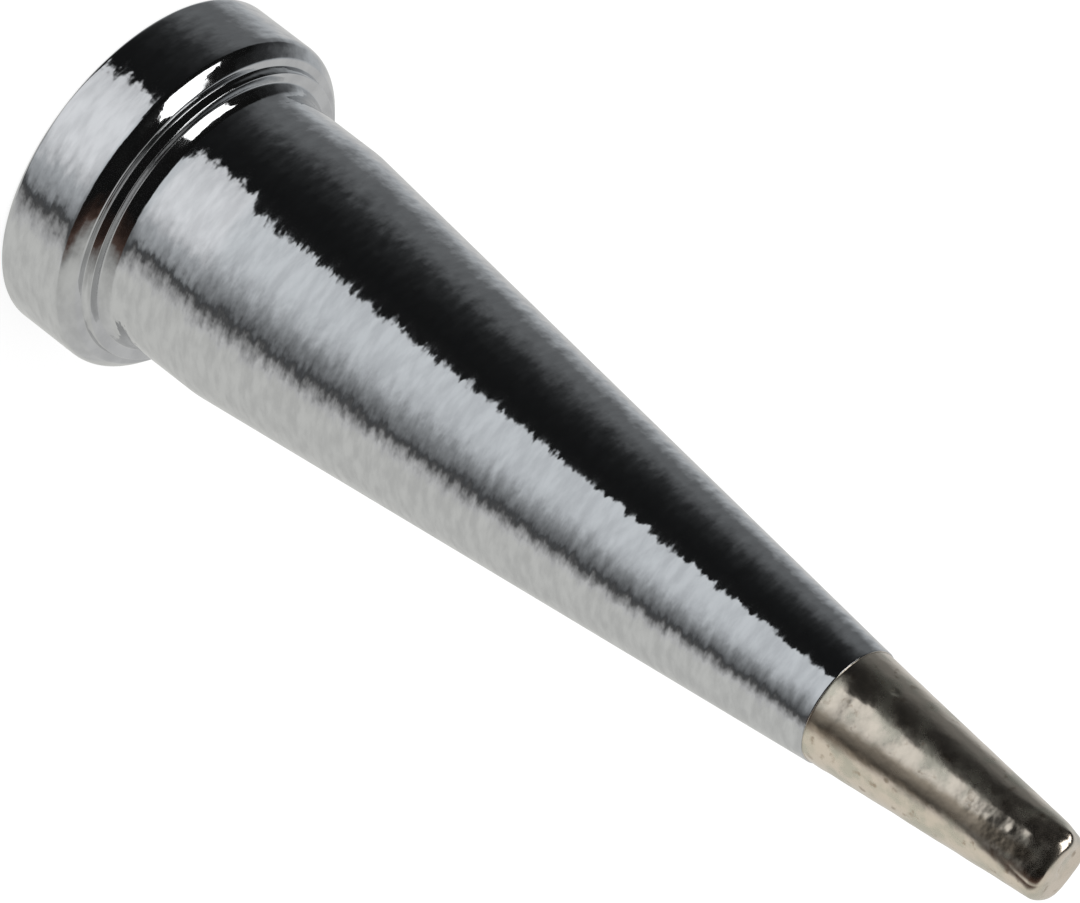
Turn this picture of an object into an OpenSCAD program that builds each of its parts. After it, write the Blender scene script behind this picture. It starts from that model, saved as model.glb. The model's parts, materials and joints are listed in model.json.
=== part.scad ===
// Soldering iron tip, turned from one bar, with a blind heater bore in its back.
// It stands on the flat back of its flange, on the origin, and +Z runs to the
// working end. The wide flats of the chisel end face -Y and +Y.
// Millimetres.

/* [Flange] */
// Diameter of the flange that the retaining sleeve clamps
flange_d = 8; // [7.4:0.1:10]
// Length of the straight rim of the flange
rim_len = 1.64; // [0.8:0.02:3]
// Rounding of the edge round the back face
back_edge_r = 0.1; // [0.05:0.01:0.25]
// Width of the steep easing between the rim and its bevel
ease_w = 0.06; // [0.02:0.01:0.12]
// Length of that easing along the axis
ease_len = 0.12; // [0.05:0.01:0.3]
// Width of the 45 degree bevel at the front of the rim
rim_bevel = 0.2; // [0.1:0.02:0.3]

/* [Shoulder ring] */
// Width of the narrow face between the bevel and the raised ring
ring_inset = 0.18; // [0.08:0.01:0.2]
// Slope of that face and of the face of the ring, rising towards the axis
face_slope = 5; // [0:1:20]
// Height of the raised ring above that face
ring_len = 0.19; // [0.08:0.02:0.4]
// Lean of the side of the ring, measured from the axis
ring_lean = 13; // [0:1:35]
// Radius of the fillet from the face of the ring down to the land
fillet_r = 0.27; // [0.05:0.01:0.4]

/* [Shank] */
// Diameter of the straight land in front of the flange
land_d = 6.2; // [5.6:0.1:6.4]
// Length of the land, from the front of the ring
land_len = 2.2; // [0.7:0.02:5]
// Length of the long chromed cone
cone_len = 16; // [8:0.5:30]
// Diameter of the cone where the chrome stops
chrome_end_d = 2.72; // [2.2:0.02:3.4]

/* [Tinned end] */
// Length of the tinned end, from the edge of the chrome
tin_len = 5.84; // [3.5:0.02:9]
// Drop in radius from the chrome down to the tinned iron
tin_step = 0.03; // [0.01:0.005:0.06]
// Width of the chisel at its end, before its corners are rounded
chisel_w = 1.58; // [1.2:0.02:2]
// Thickness of the chisel at its end
chisel_t = 0.84; // [0.5:0.02:1]
// Length of the chisel flats along the middle
flat_len = 1.95; // [1:0.05:3]
// Rounding of the two corners of the chisel
corner_r = 0.3; // [0.1:0.02:0.4]
// Rounding of the long edges of the blunt end face
end_edge_r = 0.12; // [0.04:0.01:0.16]

/* [Heater bore] */
// Diameter of the blind bore that slides over the heater
bore_d = 4.2; // [3:0.1:4.4]
// Depth of the bore, to the shoulder of the drill point
bore_depth = 7; // [4:0.5:8]
// Included angle of the drill point at the bottom of the bore
drill_angle = 118; // [90:1:140]
// Width of the bevel round the mouth of the bore
mouth_bevel = 0.2; // [0.05:0.05:0.4]

/* [Hidden] */
$fn = 128;
chrome_color = "#c4c8ca";
flange_r = flange_d/2;
land_r = land_d/2;
// Stations along the axis, each from the one before it
bevel_z = rim_len + ease_len;
face_z = bevel_z + rim_bevel;
ring_foot_z = face_z + ring_inset*tan(face_slope);
ring_z = ring_foot_z + ring_len;
cone_z = ring_z + land_len;
tin_z = cone_z + cone_len;
tip_len = tin_z + tin_len;
// Radii at those stations
bevel_r = flange_r - ease_w;
face_r = bevel_r - rim_bevel;
ring_foot_r = face_r - ring_inset;
ring_r = ring_foot_r - ring_len*tan(ring_lean);
chrome_end_r = chrome_end_d/2;
tin_r = chrome_end_r - tin_step;
end_r = chisel_w/2;
// Corner where the sloping face of the ring would meet the land
root_z = ring_z + (ring_r - land_r)*tan(face_slope);
// The fillet is no wider than the face that it runs out on
root_r = min(fillet_r, (ring_r - land_r)/(1 - sin(face_slope)));
// Rounded edges pass this far through the flats that they run into, which
// gives one clean edge where an exact tangent would leave a sliver
blend = 0.001;
// Centre of the fillet, a radius away from the land
fillet_x = land_r + root_r;
fillet_z = root_z - root_r*tan(face_slope) + (root_r - blend)/cos(face_slope);
// Slope of the tinned cone and of the flats, measured from the axis
tin_slope = atan((tin_r - end_r)/tin_len);
flat_start_r = end_r + flat_len*tan(tin_slope);
flat_slope = atan((flat_start_r - chisel_t/2)/flat_len);
// How far a rounded corner reaches back along both of its sides
function reach(radius, slope) = radius/tan((90 + slope)/2);
// The blade outline goes this far down below the start of the flats
blade_foot = flange_r;
cut_over = 1;

// Half of the turned outline, radius along X and the axis along Y
module turned_outline() {
    corner = reach(corner_r, tin_slope);
    difference() {
        union() {
            polygon([
                [0, 0],
                [flange_r - back_edge_r, 0],
                [flange_r, back_edge_r],
                [flange_r, rim_len],
                [bevel_r, bevel_z],
                [face_r, face_z],
                [ring_foot_r, ring_foot_z],
                [ring_r, ring_z],
                [land_r, root_z],
                [land_r, cone_z],
                [chrome_end_r, tin_z],
                [tin_r, tin_z],
                [end_r + corner*sin(tin_slope), tip_len - corner*cos(tin_slope)],
                [end_r - corner, tip_len],
                [0, tip_len]
            ]);
            // Rounds the edge of the back face
            translate([flange_r - back_edge_r, back_edge_r])
                circle(r = back_edge_r);
            // Rounds the corners of the end
            translate([end_r - corner, tip_len - corner_r])
                circle(r = corner_r + blend);
            // Fills the corner that the fillet is cut into
            polygon([
                [0, face_z],
                [fillet_x - root_r*sin(face_slope), fillet_z - root_r*cos(face_slope)],
                [fillet_x, fillet_z],
                [land_r, fillet_z],
                [0, fillet_z]
            ]);
        }
        translate([fillet_x, fillet_z])
            circle(r = root_r);
    }
}

// Side outline of the blade: as wide as the flange at first, then the two
// flats that run together, then the blunt end with its rounded edges
module blade_outline() {
    edge = reach(end_edge_r, flat_slope);
    half_t = chisel_t/2;
    foot_y = half_t + blade_foot*tan(flat_slope) + flange_r;
    foot_z = tip_len - (foot_y - half_t)/tan(flat_slope);
    polygon([
        [-foot_y, -cut_over],
        [foot_y, -cut_over],
        [foot_y, foot_z],
        [half_t + edge*sin(flat_slope), tip_len - edge*cos(flat_slope)],
        [half_t - edge, tip_len],
        [edge - half_t, tip_len],
        [-half_t - edge*sin(flat_slope), tip_len - edge*cos(flat_slope)],
        [-foot_y, foot_z]
    ]);
    for (side = [-1, 1])
        translate([side*(half_t - edge), tip_len - end_edge_r])
            circle(r = end_edge_r + blend);
}

// Blind bore with its drill point and the bevel at its mouth
module heater_bore() {
    bore_r = bore_d/2;
    point_len = bore_r/tan(drill_angle/2);
    translate([0, 0, -cut_over])
        cylinder(d = bore_d, h = bore_depth + cut_over);
    translate([0, 0, bore_depth])
        cylinder(r1 = bore_r, r2 = 0, h = point_len);
    cylinder(r1 = bore_r + mouth_bevel, r2 = bore_r, h = mouth_bevel);
}

// The whole tip: a turned body whose end is ground to a chisel, then bored
module tip_body() {
    color(chrome_color)
        difference() {
            intersection() {
                rotate_extrude()
                    turned_outline();
                rotate([90, 0, 90])
                    linear_extrude(2*flange_d, center = true)
                        blade_outline();
                // Cuts off what the two roundings blend in above the end face
                cylinder(d = 2*flange_d, h = tip_len);
            }
            heater_bore();
        }
}

tip_body();
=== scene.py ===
# %% [markdown]
# # A soldering iron tip: plated chrome and tinned iron
#
# The real tip is one bar of copper, turned on a lathe, plated with iron and
# then chromed over all but its working end, which is wetted with solder.
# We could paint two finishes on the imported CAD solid. But chrome mirrors every
# facet and every missing rounding, so a finer mesh of nearly the same sizes
# stands in for it here, and the light around it gets as much care as the metal.
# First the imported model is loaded. It is the fixed frame for all that follows.

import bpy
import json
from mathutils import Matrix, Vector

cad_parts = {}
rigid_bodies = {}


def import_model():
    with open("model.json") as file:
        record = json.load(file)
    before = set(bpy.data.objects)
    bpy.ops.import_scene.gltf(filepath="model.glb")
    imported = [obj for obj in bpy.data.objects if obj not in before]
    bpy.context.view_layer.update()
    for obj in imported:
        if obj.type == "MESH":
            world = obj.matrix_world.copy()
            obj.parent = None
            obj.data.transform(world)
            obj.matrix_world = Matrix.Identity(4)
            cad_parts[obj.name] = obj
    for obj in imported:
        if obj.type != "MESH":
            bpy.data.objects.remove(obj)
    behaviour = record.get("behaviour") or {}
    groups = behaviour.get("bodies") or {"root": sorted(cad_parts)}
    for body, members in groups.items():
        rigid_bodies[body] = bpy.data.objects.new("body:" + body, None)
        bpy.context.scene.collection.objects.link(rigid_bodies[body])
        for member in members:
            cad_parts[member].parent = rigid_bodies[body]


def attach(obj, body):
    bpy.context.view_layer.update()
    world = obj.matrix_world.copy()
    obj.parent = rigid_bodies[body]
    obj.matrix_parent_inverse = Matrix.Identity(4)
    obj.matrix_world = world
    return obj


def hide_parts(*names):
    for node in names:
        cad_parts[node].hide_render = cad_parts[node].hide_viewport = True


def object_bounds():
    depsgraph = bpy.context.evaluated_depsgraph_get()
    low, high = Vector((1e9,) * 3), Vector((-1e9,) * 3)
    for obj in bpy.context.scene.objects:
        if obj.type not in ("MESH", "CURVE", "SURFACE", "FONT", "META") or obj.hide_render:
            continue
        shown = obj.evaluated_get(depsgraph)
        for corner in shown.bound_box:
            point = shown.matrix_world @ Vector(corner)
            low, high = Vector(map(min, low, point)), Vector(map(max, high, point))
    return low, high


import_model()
cad_low, cad_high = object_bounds()
print("CAD box in metres:", [round(c, 5) for c in cad_low], [round(c, 5) for c in cad_high])

# %% Modules and units
import json
import math

import bmesh
import bpy
from mathutils import Quaternion, Vector, noise

MM = 0.001
scene = bpy.context.scene
scene.view_settings.view_transform = "Standard"
print("sizes below are in millimetres, and Blender's unit is the metre")

# %% [markdown]
# ## Where the camera stands
#
# A product photograph of something this small is taken with a long lens from
# some way off. The camera looks down a little on the tip, which stands on its
# flange, and the picture is then turned so that the tip lies across it.
# A direction, a distance and a roll say this more plainly than a matrix, so
# the camera is placed by those.

# %% Camera
VIEW_AZIMUTH = math.radians(-0.08)
VIEW_ELEVATION = math.radians(26.47)
VIEW_ROLL = math.radians(127.59)
VIEW_DISTANCE = 223.2 * MM
VIEW_TARGET = Vector((-0.287, 0, 11.451)) * MM
LENS_MM = 366.67
SENSOR_MM = 36


def bearing(azimuth, elevation):
    """Unit vector from the tip towards something at that azimuth and elevation.

    Azimuth 0 is the camera's side, -Y, and it grows towards -X.
    """
    flat = math.cos(elevation)
    return Vector((-math.sin(azimuth) * flat, -math.cos(azimuth) * flat, math.sin(elevation)))


def make_camera():
    """The camera on its bearing, looking back at its target, turned by the roll."""
    lens = bpy.data.cameras.new("camera")
    lens.lens = LENS_MM
    lens.sensor_width = SENSOR_MM
    lens.clip_start = 10 * MM
    lens.clip_end = 10
    camera = bpy.data.objects.new("camera", lens)
    scene.collection.objects.link(camera)
    back = bearing(VIEW_AZIMUTH, VIEW_ELEVATION)
    camera.location = VIEW_TARGET + back * VIEW_DISTANCE
    camera.rotation_mode = "QUATERNION"
    level = (-back).to_track_quat("-Z", "Y")
    camera.rotation_quaternion = level @ Quaternion((0, 0, 1), VIEW_ROLL)
    return camera


scene.camera = make_camera()
print("camera at", [round(c / MM, 1) for c in scene.camera.location], "mm")

# %% [markdown]
# ## The light that chrome shows
#
# Chrome has no colour of its own: what we see on it is its surroundings. On
# the real tip that is a white table below, a dark room behind the camera, a
# paler wall at the back and one window. An image of a room could be wrapped
# round the scene, but a few colour ramps, read by compass direction, are
# lighter and easy to change. Only glossy rays see them. The camera sees plain
# white behind the tip, and matt surfaces are lit by an even, pale grey.

# %% Node helpers
HALF_TURN = 180.0


def add_node(tree, kind, **settings):
    """Adds a node and sets its properties by name."""
    node = tree.nodes.new(kind)
    for name, value in settings.items():
        setattr(node, name, value)
    return node


def plug(tree, value, socket):
    """Links an output into a socket, or writes a plain value there."""
    if isinstance(value, bpy.types.NodeSocket):
        tree.links.new(value, socket)
    else:
        socket.default_value = value


def math_node(tree, operation, *values):
    """One Math node, whose inputs are sockets or numbers."""
    node = add_node(tree, "ShaderNodeMath", operation=operation)
    for socket, value in zip(node.inputs, values):
        plug(tree, value, socket)
    return node.outputs["Value"]


def ease(tree, value, start, end, low=0.0, high=1.0, shape="SMOOTHSTEP"):
    """A value that goes from low to high while the input goes from start to end."""
    node = add_node(tree, "ShaderNodeMapRange", interpolation_type=shape)
    for name, given in (("Value", value), ("From Min", start), ("From Max", end),
                        ("To Min", low), ("To Max", high)):
        plug(tree, given, node.inputs[name])
    return node.outputs["Result"]


def mix_colour(tree, factor, first, second):
    """First where the factor is 0, second where it is 1."""
    node = add_node(tree, "ShaderNodeMix", data_type="RGBA", clamp_factor=True)
    plug(tree, factor, node.inputs["Factor"])
    plug(tree, first, node.inputs["A"])
    plug(tree, second, node.inputs["B"])
    return node.outputs["Result"]


def compass_ramp(tree, fraction, stops):
    """A ramp round the compass. Each stop is azimuth in degrees, brightness, tint."""
    node = add_node(tree, "ShaderNodeValToRGB")
    ramp = node.color_ramp
    ramp.elements.remove(ramp.elements[0])
    for index, (azimuth, light, tint) in enumerate(stops):
        place = azimuth / (2 * HALF_TURN) + 0.5
        stop = ramp.elements[0] if index == 0 else ramp.elements.new(place)
        stop.position = place
        stop.color = (light * tint[0], light * tint[1], light * tint[2], 1)
    tree.links.new(fraction, node.inputs["Fac"])
    return node.outputs["Color"]


def split_coordinate(tree, kind):
    """A texture coordinate as its three separate outputs, X, Y and Z."""
    place = add_node(tree, "ShaderNodeTexCoord")
    split = add_node(tree, "ShaderNodeSeparateXYZ")
    tree.links.new(place.outputs[kind], split.inputs["Vector"])
    return split.outputs


def azimuth_of(tree, parts):
    """Azimuth in degrees of a vector's parts, counted as the bearings above are."""
    left = math_node(tree, "MULTIPLY", parts["X"], -1.0)
    near = math_node(tree, "MULTIPLY", parts["Y"], -1.0)
    turn = math_node(tree, "ARCTAN2", left, near)
    return math_node(tree, "MULTIPLY", turn, HALF_TURN / math.pi)


print("helpers ready")

# %% [markdown]
# Each ramp below is one belt of the surroundings, all the way round. The
# camera is at 0 degrees and the window at +58. The table is seen at two
# slants: steeply, as the rim shows it, and at a shallow angle, as the long
# cone does. The dark line near -56 is the shadowed edge of a card on it. The
# unlit side of the table has a belt of its own, and so have the room and the
# ceiling. A stop holds an azimuth in degrees, a brightness and a tint.

# %% Belts of the surroundings
NEUTRAL = (1, 1, 1)
WARM = (1, 1, 0.97)
COOL = (0.96, 1, 1.04)
LILAC = (0.985, 1, 1.03)
RUST = (1, 0.62, 0.5)
TABLE_STEEP = [
    (-180, 0.64, WARM), (-140, 0.72, WARM), (-110, 0.80, WARM), (-82, 0.80, WARM),
    (-74, 0.72, NEUTRAL), (-66, 0.46, NEUTRAL), (-59, 0.11, NEUTRAL), (-55, 0.09, COOL),
    (-50, 0.34, COOL), (-44, 0.50, COOL), (-36, 0.62, COOL), (-29, 0.82, LILAC),
    (-23, 1.00, LILAC), (-16, 1.12, LILAC), (10, 1.12, LILAC), (30, 1.00, LILAC),
]
TABLE_SHALLOW = [
    (-180, 0.66, WARM), (-140, 0.74, WARM), (-110, 0.80, WARM), (-84, 0.82, WARM),
    (-76, 0.76, NEUTRAL), (-68, 0.44, NEUTRAL), (-61, 0.12, NEUTRAL), (-56, 0.09, COOL),
    (-50, 0.20, COOL), (-42, 0.32, COOL), (-35, 0.44, COOL), (-27, 0.66, COOL),
    (-19, 0.82, COOL), (-8, 0.92, COOL), (30, 0.94, COOL),
]
TABLE_UNLIT = [
    (0, 0.02, NEUTRAL), (40, 0.012, COOL), (58, 0.016, COOL), (72, 0.03, COOL),
    (80, 0.05, COOL), (90, 0.12, COOL), (102, 0.19, COOL), (118, 0.20, COOL),
    (130, 0.38, COOL), (142, 0.60, COOL), (155, 0.70, NEUTRAL), (180, 0.64, WARM),
]
ROOM = [
    (-180, 0.72, NEUTRAL), (-100, 0.74, WARM), (-86, 0.64, WARM), (-75, 0.42, WARM),
    (-62, 0.10, RUST), (-50, 0.03, RUST), (-35, 0.008, NEUTRAL), (100, 0.008, NEUTRAL),
    (116, 0.04, COOL), (127, 0.12, COOL), (136, 0.32, COOL), (148, 0.60, COOL),
    (165, 0.72, NEUTRAL),
]
CEILING = [
    (-180, 0.72, NEUTRAL), (-90, 0.66, NEUTRAL), (-40, 0.50, NEUTRAL), (0, 0.30, NEUTRAL),
    (24, 0.05, NEUTRAL), (60, 0.05, NEUTRAL), (90, 0.20, NEUTRAL), (130, 0.66, NEUTRAL),
]
BELTS = [TABLE_STEEP, TABLE_SHALLOW, TABLE_UNLIT, ROOM, CEILING]
print(sum(len(belt) for belt in BELTS), "stops in", len(BELTS), "belts")

# %% World
# Elevations, in degrees, of the two slants at which the table is seen
TABLE_SHALLOW_EL = -15.0
TABLE_STEEP_EL = -29.0
# Azimuths at which the lit side of the table ends there, and how soft that edge is
LIT_EDGE_SHALLOW = 21.0
LIT_EDGE_STEEP = 35.0
LIT_EDGE_SOFT = 2.5
# Elevations between which the room takes over from the table, and the ceiling from the room
HORIZON_LOW, HORIZON_HIGH = -10.0, -3.0
CEILING_LOW, CEILING_HIGH = 66.0, 76.0
# Grey level that lights matt surfaces
OPEN_WORLD_LIGHT = 0.8
WHITE = (1, 1, 1, 1)


def surroundings(tree):
    """The colour that a glossy ray sees in its direction."""
    direction = split_coordinate(tree, "Generated")
    azimuth = azimuth_of(tree, direction)
    fraction = math_node(tree, "MULTIPLY_ADD", azimuth, 0.5 / HALF_TURN, 0.5)
    rise = math_node(tree, "ARCSINE", direction["Z"])
    elevation = math_node(tree, "MULTIPLY", rise, HALF_TURN / math.pi)
    steepness = ease(tree, elevation, TABLE_SHALLOW_EL, TABLE_STEEP_EL, shape="LINEAR")
    lit = mix_colour(tree, steepness, compass_ramp(tree, fraction, TABLE_SHALLOW),
                     compass_ramp(tree, fraction, TABLE_STEEP))
    edge = ease(tree, elevation, TABLE_SHALLOW_EL, TABLE_STEEP_EL,
                LIT_EDGE_SHALLOW, LIT_EDGE_STEEP, "LINEAR")
    past_edge = math_node(tree, "SUBTRACT", azimuth, edge)
    unlit = ease(tree, past_edge, -LIT_EDGE_SOFT, LIT_EDGE_SOFT)
    table = mix_colour(tree, unlit, lit, compass_ramp(tree, fraction, TABLE_UNLIT))
    above = ease(tree, elevation, HORIZON_LOW, HORIZON_HIGH)
    around = mix_colour(tree, above, table, compass_ramp(tree, fraction, ROOM))
    overhead = ease(tree, elevation, CEILING_LOW, CEILING_HIGH)
    return mix_colour(tree, overhead, around, compass_ramp(tree, fraction, CEILING))


def make_world():
    """White for the camera, plain light for matt surfaces, the belts for gloss."""
    world = bpy.data.worlds.new("studio")
    world.use_nodes = True
    tree = world.node_tree
    tree.nodes.clear()
    path = add_node(tree, "ShaderNodeLightPath")
    grey = (OPEN_WORLD_LIGHT,) * 3 + (1,)
    plain = mix_colour(tree, path.outputs["Is Camera Ray"], grey, WHITE)
    seen = mix_colour(tree, path.outputs["Is Glossy Ray"], plain, surroundings(tree))
    background = add_node(tree, "ShaderNodeBackground")
    output = add_node(tree, "ShaderNodeOutputWorld")
    tree.links.new(seen, background.inputs["Color"])
    tree.links.new(background.outputs["Background"], output.inputs["Surface"])
    return world


scene.world = make_world()
print("world nodes:", len(scene.world.node_tree.nodes))

# %% [markdown]
# ## The window and the floor
#
# One soft rectangular lamp is the window. It gives the two white flashes on
# the bevel and in the fillet, so its size and height are what those flashes
# span. A sun would give hard pinpoints, and a brighter world no flash at all.
# The floor is white and keeps a faint shadow. Part of its white glows for the
# camera only, and glossy rays pass it by, so that the chrome shows the belts.

# %% Window lamp
WINDOW_AZIMUTH = math.radians(58)
WINDOW_HALF_ANGLE = math.radians(21)
WINDOW_SILL = math.radians(19)
WINDOW_TOP = math.radians(61)
WINDOW_DISTANCE = 250 * MM
WINDOW_WATTS = 0.6


def make_window():
    """An upright area lamp on the -X side of the camera, facing the tip."""
    sill = WINDOW_DISTANCE * math.tan(WINDOW_SILL)
    top = WINDOW_DISTANCE * math.tan(WINDOW_TOP)
    lamp = bpy.data.lights.new("window", "AREA")
    lamp.shape = "RECTANGLE"
    lamp.size = 2 * WINDOW_DISTANCE * math.tan(WINDOW_HALF_ANGLE)
    lamp.size_y = top - sill
    lamp.energy = WINDOW_WATTS
    window = bpy.data.objects.new("window", lamp)
    scene.collection.objects.link(window)
    away = bearing(WINDOW_AZIMUTH, 0)
    window.location = away * WINDOW_DISTANCE + Vector((0, 0, (sill + top) / 2))
    window.rotation_mode = "QUATERNION"
    window.rotation_quaternion = (-away).to_track_quat("-Z", "Y")
    return window


window = make_window()
print("window at", [round(c / MM) for c in window.location], "mm")

# %% Floor
FLOOR_REACH = 2.0
# Colour of the card where it lights the tip, and the share of it that the camera sees
FLOOR_WHITE, FLOOR_MATT = 0.8, 0.3
# Glow that the camera sees on top of that share
FLOOR_GLOW = 0.8


def make_floor():
    """A large white plane at the height that the tip stands on."""
    mesh = bpy.data.meshes.new("floor")
    shape = bmesh.new()
    bmesh.ops.create_grid(shape, x_segments=1, y_segments=1, size=FLOOR_REACH)
    shape.to_mesh(mesh)
    shape.free()
    floor = bpy.data.objects.new("floor", mesh)
    scene.collection.objects.link(floor)
    floor.visible_glossy = False
    return floor


def floor_material():
    """White card. The camera sees a glow plus a share of real, shadowed light."""
    material = bpy.data.materials.new("white_card")
    material.use_nodes = True
    tree = material.node_tree
    tree.nodes.clear()
    matt = add_node(tree, "ShaderNodeBsdfDiffuse")
    path = add_node(tree, "ShaderNodeLightPath")
    seen = path.outputs["Is Camera Ray"]
    share = ease(tree, seen, 0.0, 1.0, FLOOR_WHITE, FLOOR_MATT, "LINEAR")
    colour = add_node(tree, "ShaderNodeCombineXYZ")
    for axis in "XYZ":
        tree.links.new(share, colour.inputs[axis])
    tree.links.new(colour.outputs["Vector"], matt.inputs["Color"])
    glow = add_node(tree, "ShaderNodeEmission")
    strength = math_node(tree, "MULTIPLY", seen, FLOOR_GLOW)
    tree.links.new(strength, glow.inputs["Strength"])
    both = add_node(tree, "ShaderNodeAddShader")
    tree.links.new(matt.outputs["BSDF"], both.inputs[0])
    tree.links.new(glow.outputs["Emission"], both.inputs[1])
    output = add_node(tree, "ShaderNodeOutputMaterial")
    tree.links.new(both.outputs["Shader"], output.inputs["Surface"])
    return material


floor = make_floor()
floor.data.materials.append(floor_material())
print("floor reaches", FLOOR_REACH, "m each way")

# %% [markdown]
# ## The turned outline
#
# A lathe makes this shape, so the mesh is made as a lathe would: half of the
# outline is drawn once and spun round the axis. The walk starts inside, at the
# point of the drilled bore, comes out over the back face, goes over the rim,
# the ring and the cone, and ends on the axis at the working end. The sizes are
# close to those of the solid. Only the fillet in front of the ring is drawn
# another way, as two short slopes, which catch the window where the real fillet
# does. What the solid leaves sharp gets a small rounding, for on chrome a sharp
# corner shows as a crease without a glint.

# %% Sizes of the tip
FLANGE_R = cad_high.x / MM
TIP_LEN = cad_high.z / MM
# From the rim inwards: easing, bevel, narrow face, ring, root, bend and land
RIM_LEN = 1.64
EASE_W, EASE_LEN = 0.06, 0.12
BEVEL_W = 0.20
FACE_W = 0.18
FACE_SLOPE = math.radians(5)
RING_LEN = 0.19
RING_LEAN = math.radians(15)
RING_DISH = 0.02
ROOT_W, ROOT_RISE = 0.165, 0.20
BEND_W, BEND_RISE = 0.03, 0.18
LAND_R = 3.1
CONE_LEN = 16.0
CHROME_END_R = 1.36
TIN_LEN = 5.84
TIN_STEP = 0.03
END_HALF_W, END_HALF_T = 0.79, 0.42
FLAT_LEN = 1.95
CORNER_R = 0.30
END_EDGE_R = 0.14
BORE_R, BORE_DEPTH = 2.1, 7.0
DRILL_HALF_ANGLE = math.radians(59)
MOUTH_BEVEL = 0.2
# Each station below follows from the one before it
EASE_Z = RIM_LEN + EASE_LEN
FACE_Z = EASE_Z + BEVEL_W
FOOT_Z = FACE_Z + FACE_W * math.tan(FACE_SLOPE)
RING_Z = FOOT_Z + RING_LEN
EASE_R = FLANGE_R - EASE_W
FACE_R = EASE_R - BEVEL_W
FOOT_R = FACE_R - FACE_W
RING_R = FOOT_R - RING_LEN * math.tan(RING_LEAN)
ROOT_R = LAND_R + ROOT_W
ROOT_Z = RING_Z - RING_DISH
BEND_Z = ROOT_Z + ROOT_RISE
LAND_Z = BEND_Z + BEND_RISE
TIN_Z = TIP_LEN - TIN_LEN
CONE_Z = TIN_Z - CONE_LEN
TIN_R = CHROME_END_R - TIN_STEP
# One more point just before the end of the cone keeps the edge from shading the cone
GUARD_LEN = 0.03
GUARD_R = CHROME_END_R + GUARD_LEN * (LAND_R - CHROME_END_R) / (TIN_Z - CONE_Z)
TIN_SLOPE = math.atan((TIN_R - END_HALF_W) / TIN_LEN)
DRILL_TIP_Z = BORE_DEPTH + BORE_R / math.tan(DRILL_HALF_ANGLE)
print("cone from z", round(CONE_Z, 3), "to", round(TIN_Z, 3), "mm")

# %% Corners of the outline
END_REACH = CORNER_R / math.tan((math.pi / 2 + TIN_SLOPE) / 2)
# Each corner: radius, height, how far its rounding reaches, segments of the rounding
CORNERS = [
    (0, DRILL_TIP_Z, 0, 0),
    (BORE_R, BORE_DEPTH, 0.04, 3),
    (BORE_R, MOUTH_BEVEL, 0.03, 3),
    (BORE_R + MOUTH_BEVEL, 0, 0.03, 3),
    (FLANGE_R, 0, 0.10, 6),
    (FLANGE_R, RIM_LEN, 0.07, 6),
    (EASE_R, EASE_Z, 0.055, 5),
    (FACE_R, FACE_Z, 0.03, 5),
    (FOOT_R, FOOT_Z, 0.012, 3),
    (RING_R, RING_Z, 0.02, 4),
    (ROOT_R, ROOT_Z, 0.03, 4),
    (LAND_R + BEND_W, BEND_Z, 0.09, 6),
    (LAND_R, LAND_Z, 0.09, 5),
    (LAND_R, CONE_Z, 0.15, 6),
    (GUARD_R, TIN_Z - GUARD_LEN, 0, 0),
    (CHROME_END_R, TIN_Z, 0.008, 3),
    (TIN_R, TIN_Z, 0.008, 3),
    (END_HALF_W, TIP_LEN, END_REACH, 16),
    (0, TIP_LEN, 0, 0),
]


def draw_outline():
    """The outline as a wire of straight edges, with its corners then rounded."""
    wire = bmesh.new()
    points = [wire.verts.new((radius * MM, 0, height * MM)) for radius, height, _, _ in CORNERS]
    for start, end in zip(points, points[1:]):
        wire.edges.new((start, end))
    for point, (_, _, reach, segments) in zip(points, CORNERS):
        if reach:
            bmesh.ops.bevel(wire, geom=[point], offset=reach * MM, offset_type="OFFSET",
                            affect="VERTICES", segments=segments, profile=0.5, material=-1)
    return wire


wire = draw_outline()
print("outline:", len(wire.verts), "points,", len(wire.edges), "edges")

# %% [markdown]
# A spun face between two far-apart rings would shade badly next to a rounding,
# and the solder needs points to move. So the straight stretches are divided
# first: finely on the tinned end, coarsely where the metal is plain.

# %% Divide and spin
SEGMENTS = 256
STEP_TIN = 0.04
STEP_CONE = 0.25
STEP_FLANGE = 0.12
STEP_BORE = 0.6
# How far in front of the bend the short steps go on
NEAR_BEND = 0.1
SAME_POINT = 0.0001


def step_for(middle):
    """How long an edge of the outline may be at that place."""
    radius, height = middle.x / MM, middle.z / MM
    if height > TIN_Z:
        return STEP_TIN
    if radius < BORE_R + MOUTH_BEVEL and height < DRILL_TIP_Z:
        return STEP_BORE
    return STEP_CONE if height > LAND_Z + NEAR_BEND else STEP_FLANGE


def divide(wire):
    """Cuts each long edge of the wire into equal steps."""
    for edge in list(wire.edges):
        middle = (edge.verts[0].co + edge.verts[1].co) / 2
        cuts = math.ceil(edge.calc_length() / MM / step_for(middle)) - 1
        if cuts > 0:
            bmesh.ops.subdivide_edges(wire, edges=[edge], cuts=cuts)


def spin_round(wire):
    """A full turn round the axis, closed at the seam and on the axis."""
    bmesh.ops.spin(wire, geom=wire.verts[:] + wire.edges[:], cent=(0, 0, 0), axis=(0, 0, 1),
                   angle=2 * math.pi, steps=SEGMENTS, use_merge=True)
    bmesh.ops.remove_doubles(wire, verts=wire.verts[:], dist=SAME_POINT * MM)
    bmesh.ops.recalc_face_normals(wire, faces=wire.faces[:])


divide(wire)
spin_round(wire)
body = wire
open_edges = sum(not edge.is_manifold for edge in body.edges)
print("spun body:", len(body.faces), "faces,", open_edges, "open edges")

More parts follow.
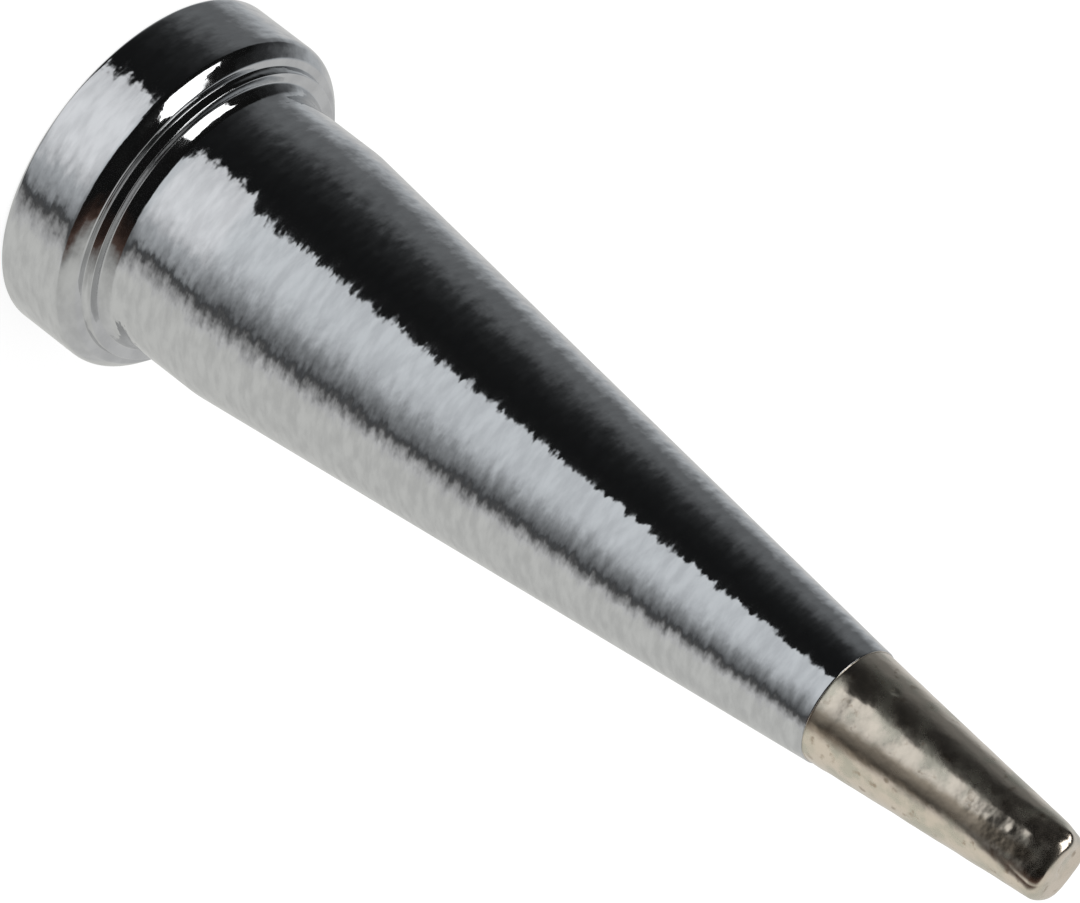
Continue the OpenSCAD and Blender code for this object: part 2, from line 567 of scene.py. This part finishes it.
# %% [markdown]
# ## Grinding the chisel
#
# The end is a cone with two flats ground on it, one on each side. A boolean
# would cut them but leave long thin faces that solder could not ripple. Here
# each point beyond the flat is drawn in towards the axis until it lies on the
# flat. A soft minimum eases the two surfaces into each other, as the coat of
# solder does on the real edge. The coat also stands a little above the ground
# flat and gives it a slight crown.

# %% Flats
FLAT_START_R = END_HALF_W + FLAT_LEN * math.tan(TIN_SLOPE)
FLAT_SLOPE = math.atan((FLAT_START_R - END_HALF_T) / FLAT_LEN)
EDGE_REACH = END_EDGE_R / math.tan((math.pi / 2 + FLAT_SLOPE) / 2)
END_FACE_R = END_HALF_W - END_REACH
# How widely the edges of each flat are eased, and how thick the solder lies on it
SOFT_FRONT, SOFT_BACK = 0.30, 0.10
SOLDER_ON_FRONT, SOLDER_ON_BACK = 0.15, 0.10
CROWN_R = 1.6
# Keeps a division off zero
SMALL = 1e-3
# How near a point has to be to count as on the axis, or as on the end face
ON_AXIS, ON_END_FACE = 1e-6, 1e-5
# A point that keeps more than this share of its distance from the axis hasn't moved
UNMOVED = 0.999


def half_thickness(height):
    """Distance from the axis to the flat at that height, with its rounded end."""
    below_end = TIP_LEN - height
    straight = END_HALF_T + below_end * math.tan(FLAT_SLOPE)
    if below_end >= END_EDGE_R * (1 - math.sin(FLAT_SLOPE)):
        return straight
    rise = END_EDGE_R - below_end
    return END_HALF_T - EDGE_REACH + math.sqrt(max(END_EDGE_R ** 2 - rise ** 2, 0))


def soft_min(first, second, soft):
    """The smaller of the two, eased where they are nearly equal."""
    overlap = max(soft - abs(first - second), 0) / soft
    return min(first, second) - overlap * overlap * soft / 4


def solder_plane(point, across):
    """Distance from the axis to the solder on the flat that the point faces."""
    ground = half_thickness(point.z)
    drawn_in = min(ground / max(across * point.xy.length, SMALL), 1)
    crown = (point.x * drawn_in) ** 2 / (2 * CROWN_R)
    return ground - crown + (SOLDER_ON_FRONT if point.y < 0 else SOLDER_ON_BACK)


def grind_flats(body):
    """Draws the points beyond either flat in towards the axis."""
    moved = 0
    for vert in body.verts:
        point = vert.co / MM
        radius = point.xy.length
        if point.z < TIN_Z or radius < ON_AXIS:
            continue
        # The whole end face follows its rim, so that its rings stay in order
        outer = END_FACE_R if point.z > TIP_LEN - ON_END_FACE else radius
        across = abs(point.y) / radius
        limit = solder_plane(point, across) / max(across, SMALL)
        soft = min(SOFT_FRONT if point.y < 0 else SOFT_BACK, outer)
        factor = soft_min(outer, limit, soft) / outer
        vert.co.x *= factor
        vert.co.y *= factor
        moved += factor < UNMOVED
    return moved


print("points drawn onto the flats:", grind_flats(body))

# %% [markdown]
# ## Solder on the iron
#
# Solder wets the iron in a thin coat that is never quite even. It stands in a
# low bead against the edge of the chrome, and gathers in a few small lumps on
# the flats. One corner of the end is worn rounder than the other. Bump mapping
# could fake the ripple, but it can't wear a corner away. So the points
# themselves are moved along their normals, by smooth noise that gives the same
# result every time.

# %% Coat of solder
RIPPLE_HEIGHT, RIPPLE_SIZE = 0.008, 0.60
GRAIN_HEIGHT, GRAIN_SIZE = 0.0022, 0.20
BEAD_HEIGHT, BEAD_LEN = 0.014, 0.60
# The bead stands at this share of its height, give or take this much
BEAD_SHARE, BEAD_SWELL = 0.7, 0.6
BEAD_NOISE_SHIFT = Vector((7, 0, 0))
# The edge of the chrome stays where it is, and the coat starts just past it
COAT_START = 0.005
# Each lump: azimuth in degrees, height along the axis, reach, how proud it stands,
# which is below zero for a dent or a worn corner
LUMPS = [
    (-2, 24.62, 0.12, 0.006),
    (3, 25.12, 0.12, 0.008),
    (16, 25.55, 0.26, 0.012),
    (90, 26.05, 0.45, -0.060),
    (40, 21.4, 0.12, -0.020),
    (165, 24.6, 0.24, 0.020),
    (200, 25.2, 0.20, 0.018),
]


def hump(distance, reach):
    """1 at the middle, easing to 0 at the reach."""
    share = max(1 - (distance / reach) ** 2, 0)
    return share * share


def solder_height(point):
    """How far the solder stands off the iron at that point, in millimetres."""
    past = point.z - TIN_Z
    start = min(past / BEAD_LEN, 1)
    ripple = noise.noise(point / RIPPLE_SIZE) * RIPPLE_HEIGHT
    grain = noise.noise(point / GRAIN_SIZE) * GRAIN_HEIGHT
    bead = hump(past - BEAD_LEN / 2, BEAD_LEN / 2) * BEAD_HEIGHT
    bead *= BEAD_SHARE + BEAD_SWELL * noise.noise(point / RIPPLE_SIZE + BEAD_NOISE_SHIFT)
    height = (ripple + grain) * start + bead
    for azimuth, level, reach, proud in LUMPS:
        turn = math.radians(azimuth)
        radius = point.xy.length
        middle = Vector((-math.sin(turn) * radius, -math.cos(turn) * radius, level))
        height += hump((point - middle).length, reach) * proud
    return height


def coat_with_solder(body):
    """Moves the points of the tinned end along their normals."""
    body.normal_update()
    moves = {}
    for vert in body.verts:
        point = vert.co / MM
        if point.z > TIN_Z + COAT_START:
            moves[vert] = vert.normal * solder_height(point) * MM
    for vert, move in moves.items():
        vert.co += move
        vert.co.z = min(vert.co.z, TIP_LEN * MM)
    return len(moves)


print("points coated with solder:", coat_with_solder(body))

# %% [markdown]
# ## Three finishes on one mesh
#
# The tip stays one piece, as the real one is. The faces know where they are,
# so each one is given its finish by its place: chrome outside, solder past the
# chrome's edge, and bare drilled metal in the bore.

# %% One piece with three finishes
CHROME, TINNED, DRILLED = 0, 1, 2
PLACE_MARGIN = 0.01


def finish_index(face):
    """Which finish a face has, by its place on the tip."""
    middle = face.calc_center_median() / MM
    if middle.z > TIN_Z:
        return TINNED
    inside = middle.xy.length < BORE_R + PLACE_MARGIN
    return DRILLED if inside and middle.z < DRILL_TIP_Z + PLACE_MARGIN else CHROME


for face in body.faces:
    face.smooth = True
    face.material_index = finish_index(face)
mesh = bpy.data.meshes.new("dressed_tip")
body.to_mesh(mesh)
body.free()
tip = bpy.data.objects.new("dressed_tip", mesh)
scene.collection.objects.link(tip)
print("dressed_tip:", len(mesh.polygons), "faces")

# %% [markdown]
# ## Chrome
#
# The plating follows every scratch that turning and polishing left below it.
# Those strokes run round the axis, so the edge between light and dark in the
# mirror image looks torn along short lines. Noise squeezed along the axis gives
# such strokes. It is a node group, because the solder and the bore use it too,
# each with its own spacing. A bump alone would also tilt the mirror up and down
# and bring black flecks from the horizon into the bright band. So the group
# gives a second normal as well, which the noise swings round the axis only.

# %% Stroke group
STROKE_INPUTS = (("Across per mm", 3.0), ("Along per mm", 6.0), ("Detail", 2.0), ("Swing", 0.0))
STROKE_SCALES = (("X", "Across per mm"), ("Y", "Across per mm"), ("Z", "Along per mm"))


def make_stroke_group():
    """Noise whose grains are longer round the axis than along it.

    It gives a height for bump and colour, and a normal swung round the axis.
    """
    group = bpy.data.node_groups.new("strokes_round_axis", "ShaderNodeTree")
    for name, value in STROKE_INPUTS:
        socket = group.interface.new_socket(name, in_out="INPUT", socket_type="NodeSocketFloat")
        socket.default_value = value
    group.interface.new_socket("Height", in_out="OUTPUT", socket_type="NodeSocketFloat")
    group.interface.new_socket("Normal", in_out="OUTPUT", socket_type="NodeSocketVector")
    given = add_node(group, "NodeGroupInput")
    place = add_node(group, "ShaderNodeTexCoord")
    scale = add_node(group, "ShaderNodeCombineXYZ")
    for axis, name in STROKE_SCALES:
        per_metre = math_node(group, "DIVIDE", given.outputs[name], MM)
        group.links.new(per_metre, scale.inputs[axis])
    grown = add_node(group, "ShaderNodeVectorMath", operation="MULTIPLY")
    group.links.new(place.outputs["Object"], grown.inputs[0])
    group.links.new(scale.outputs["Vector"], grown.inputs[1])
    grain = add_node(group, "ShaderNodeTexNoise", noise_dimensions="3D")
    grain.inputs["Scale"].default_value = 1.0
    group.links.new(grown.outputs["Vector"], grain.inputs["Vector"])
    group.links.new(given.outputs["Detail"], grain.inputs["Detail"])
    result = add_node(group, "NodeGroupOutput")
    group.links.new(grain.outputs["Fac"], result.inputs["Height"])
    centred = math_node(group, "SUBTRACT", grain.outputs["Fac"], 0.5)
    swing = add_node(group, "ShaderNodeVectorRotate", rotation_type="Z_AXIS")
    group.links.new(place.outputs["Normal"], swing.inputs["Vector"])
    angle = math_node(group, "MULTIPLY", centred, given.outputs["Swing"])
    group.links.new(angle, swing.inputs["Angle"])
    to_world = add_node(group, "ShaderNodeVectorTransform", vector_type="NORMAL",
                        convert_from="OBJECT", convert_to="WORLD")
    group.links.new(swing.outputs["Vector"], to_world.inputs["Vector"])
    group.links.new(to_world.outputs["Vector"], result.inputs["Normal"])
    return group


STROKES = make_stroke_group()


def stroke_node(tree, across, along, detail):
    """Places the stroke group in a material, with its spacing and detail."""
    node = add_node(tree, "ShaderNodeGroup", node_tree=STROKES)
    node.inputs["Across per mm"].default_value = across
    node.inputs["Along per mm"].default_value = along
    node.inputs["Detail"].default_value = detail
    return node


def strokes(tree, across, along, detail):
    """The height of the strokes."""
    return stroke_node(tree, across, along, detail).outputs["Height"]


print("group sockets:", [item.name for item in STROKES.interface.items_tree])

# %% Material helpers


def metal(name):
    """A new metallic material: its tree and its shader."""
    material = bpy.data.materials.new(name)
    material.use_nodes = True
    shader = material.node_tree.nodes["Principled BSDF"]
    shader.inputs["Metallic"].default_value = 1.0
    return material, material.node_tree, shader


def raise_surface(tree, shader, height, millimetres):
    """Bumps the shader's normal by a height that runs from 0 to 1."""
    bump = add_node(tree, "ShaderNodeBump")
    bump.inputs["Distance"].default_value = millimetres * MM
    tree.links.new(height, bump.inputs["Height"])
    tree.links.new(bump.outputs["Normal"], shader.inputs["Normal"])
    return bump


def height_on_tip(tree):
    """Distance along the axis from the back face, in millimetres."""
    return math_node(tree, "DIVIDE", split_coordinate(tree, "Object")["Z"], MM)


print("material helpers ready")

# %% Chrome material
CHROME_TONE = (0.57, 0.576, 0.58, 1)
CHROME_DULL = (0.48, 0.485, 0.49, 1)
CHROME_ROUGH, CHROME_SMOOTH = 0.10, 0.05
# Each layer of strokes: across per mm, along per mm, detail
CHROME_CLOUDS = (1.6, 5.0, 3.0)
CHROME_DENTS = (2.6, 3.6, 2.0)
CHROME_TURNING = (2.4, 6.5, 3.0)
CLOUD_LOW, CLOUD_HIGH = 0.3, 0.7
DENT_DEPTH = 0.006
# Swing of the normal in radians, which grows from the ring to a little up the cone
FLANGE_SWING, CONE_SWING = 0.20, 0.26
SWING_GROWS = 1.0


def make_chrome():
    """Bright plating over turned metal, calmer on the flange than on the cone."""
    material, tree, shader = metal("chrome_plating")
    cloud = strokes(tree, *CHROME_CLOUDS)
    bright = ease(tree, cloud, CLOUD_LOW, CLOUD_HIGH)
    tree.links.new(mix_colour(tree, bright, CHROME_DULL, CHROME_TONE), shader.inputs["Base Color"])
    wear = ease(tree, cloud, CLOUD_LOW, CLOUD_HIGH, CHROME_ROUGH, CHROME_SMOOTH)
    tree.links.new(wear, shader.inputs["Roughness"])
    bump = raise_surface(tree, shader, strokes(tree, *CHROME_DENTS), DENT_DEPTH)
    turning = stroke_node(tree, *CHROME_TURNING)
    height = height_on_tip(tree)
    swing = ease(tree, height, RING_Z, CONE_Z + SWING_GROWS, FLANGE_SWING, CONE_SWING)
    tree.links.new(swing, turning.inputs["Swing"])
    tree.links.new(turning.outputs["Normal"], bump.inputs["Normal"])
    return material


mesh.materials.append(make_chrome())
print("chrome:", len(mesh.materials[CHROME].node_tree.nodes), "nodes")

# %% [markdown]
# ## Solder
#
# Solder that has been hot many times is a warm grey, still glossy but a little
# clouded, with olive and brown oxide in patches. It is as metallic as the
# chrome, so it shows the same belts of light and dark, only tinted. Along one
# flank a brown reflection is painted into its colour as a band.

# %% Tones and noise of the solder
SOLDER_TONE = (0.70, 0.62, 0.52, 1)
SOLDER_OLIVE = (0.56, 0.53, 0.44, 1)
# Brown of the oxide spots, and of the reflection painted along one flank
SOLDER_BROWN = (0.42, 0.35, 0.27, 1)
SOLDER_SMOOTH, SOLDER_ROUGH = 0.16, 0.30
# Each layer of noise: across per mm, along per mm, detail
SOLDER_PATCHES = (1.8, 1.8, 4.0)
SOLDER_SPOTS_AND_BAND_EDGE = (3.7, 3.7, 3.0)
SOLDER_DENTS = (3.0, 3.0, 2.0)
SOLDER_DENT_DEPTH = 0.009
print("solder tone:", SOLDER_TONE[:3])

# %% Band of painted reflection
# It is a brown reflection painted along one flank. Its azimuth at the chrome and at the end, in
# degrees
PAINTED_BAND_FROM, PAINTED_BAND_TO = -29.0, -14.0
PAINTED_BAND_HALF_WIDTH = 11.0
# How far before the end it starts to fade, and how far before the end it is gone
PAINTED_BAND_FADES, PAINTED_BAND_GONE = 0.6, 0.2


def painted_reflection_band(tree, ragged):
    """1 along the middle of the painted brown reflection band, 0 away from it."""
    middle = ease(tree, height_on_tip(tree), TIN_Z, TIP_LEN, PAINTED_BAND_FROM, PAINTED_BAND_TO, "LINEAR")
    azimuth = azimuth_of(tree, split_coordinate(tree, "Object"))
    away = math_node(tree, "ABSOLUTE", math_node(tree, "SUBTRACT", azimuth, middle))
    shaken = math_node(tree, "MULTIPLY_ADD", ragged, PAINTED_BAND_HALF_WIDTH, away)
    side = ease(tree, shaken, PAINTED_BAND_HALF_WIDTH, 2 * PAINTED_BAND_HALF_WIDTH, 1.0, 0.0)
    height = height_on_tip(tree)
    before_end = ease(tree, height, TIP_LEN - PAINTED_BAND_FADES, TIP_LEN - PAINTED_BAND_GONE, 1.0, 0.0)
    return math_node(tree, "MULTIPLY", side, before_end)


# The band that turns here is the painted brown reflection
print("stain turns", PAINTED_BAND_TO - PAINTED_BAND_FROM, "degrees on its way to the end")

# %% Solder material
# Noise levels between which the olive patches, the spots and the dull places come in
PATCH_LOW, PATCH_HIGH = 0.44, 0.66
SPOT_LOW, SPOT_HIGH = 0.58, 0.74
DULL_LOW, DULL_HIGH = 0.35, 0.70


def make_solder():
    """Warm glossy metal with clouds of oxide, and a brown reflection painted along one side."""
    material, tree, shader = metal("tinned_iron")
    patches = strokes(tree, *SOLDER_PATCHES)
    spot_and_band_noise = strokes(tree, *SOLDER_SPOTS_AND_BAND_EDGE)
    olive = ease(tree, patches, PATCH_LOW, PATCH_HIGH)
    tone = mix_colour(tree, olive, SOLDER_TONE, SOLDER_OLIVE)
    spots = ease(tree, spot_and_band_noise, SPOT_LOW, SPOT_HIGH)
    # Brown oxide spots, and the band of painted reflection along one flank
    brown = math_node(tree, "MAXIMUM", spots, painted_reflection_band(tree, spot_and_band_noise))
    tone = mix_colour(tree, brown, tone, SOLDER_BROWN)
    tree.links.new(tone, shader.inputs["Base Color"])
    rough = ease(tree, patches, DULL_LOW, DULL_HIGH, SOLDER_SMOOTH, SOLDER_ROUGH)
    tree.links.new(rough, shader.inputs["Roughness"])
    raise_surface(tree, shader, strokes(tree, *SOLDER_DENTS), SOLDER_DENT_DEPTH)
    return material


mesh.materials.append(make_solder())
print("solder:", len(mesh.materials[TINNED].node_tree.nodes), "nodes")

# %% [markdown]
# ## The bore
#
# Nobody polishes the inside of a heater bore. The drill leaves fine rings, and
# heat darkens the bare metal to a dull grey-brown.

# %% Bore material
BORE_TONE = (0.30, 0.27, 0.24, 1)
BORE_DARK = (0.16, 0.13, 0.11, 1)
BORE_ROUGH = 0.42
# Each layer of strokes: across per mm, along per mm, detail
BORE_RINGS = (0.2, 14.0, 1.0)
BORE_SOOT = (0.9, 0.5, 4.0)
SOOT_LOW, SOOT_HIGH = 0.40, 0.65
BORE_RING_DEPTH = 0.01


def make_bore():
    """Dull drilled metal with rings round the axis."""
    material, tree, shader = metal("drilled_bore")
    shader.inputs["Roughness"].default_value = BORE_ROUGH
    sooty = ease(tree, strokes(tree, *BORE_SOOT), SOOT_LOW, SOOT_HIGH)
    tree.links.new(mix_colour(tree, sooty, BORE_TONE, BORE_DARK), shader.inputs["Base Color"])
    raise_surface(tree, shader, strokes(tree, *BORE_RINGS), BORE_RING_DEPTH)
    return material


mesh.materials.append(make_bore())
print("bore:", len(mesh.materials[DRILLED].node_tree.nodes), "nodes")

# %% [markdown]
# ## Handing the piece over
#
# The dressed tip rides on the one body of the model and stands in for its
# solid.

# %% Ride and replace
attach(tip, "root")
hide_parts("tip_body")
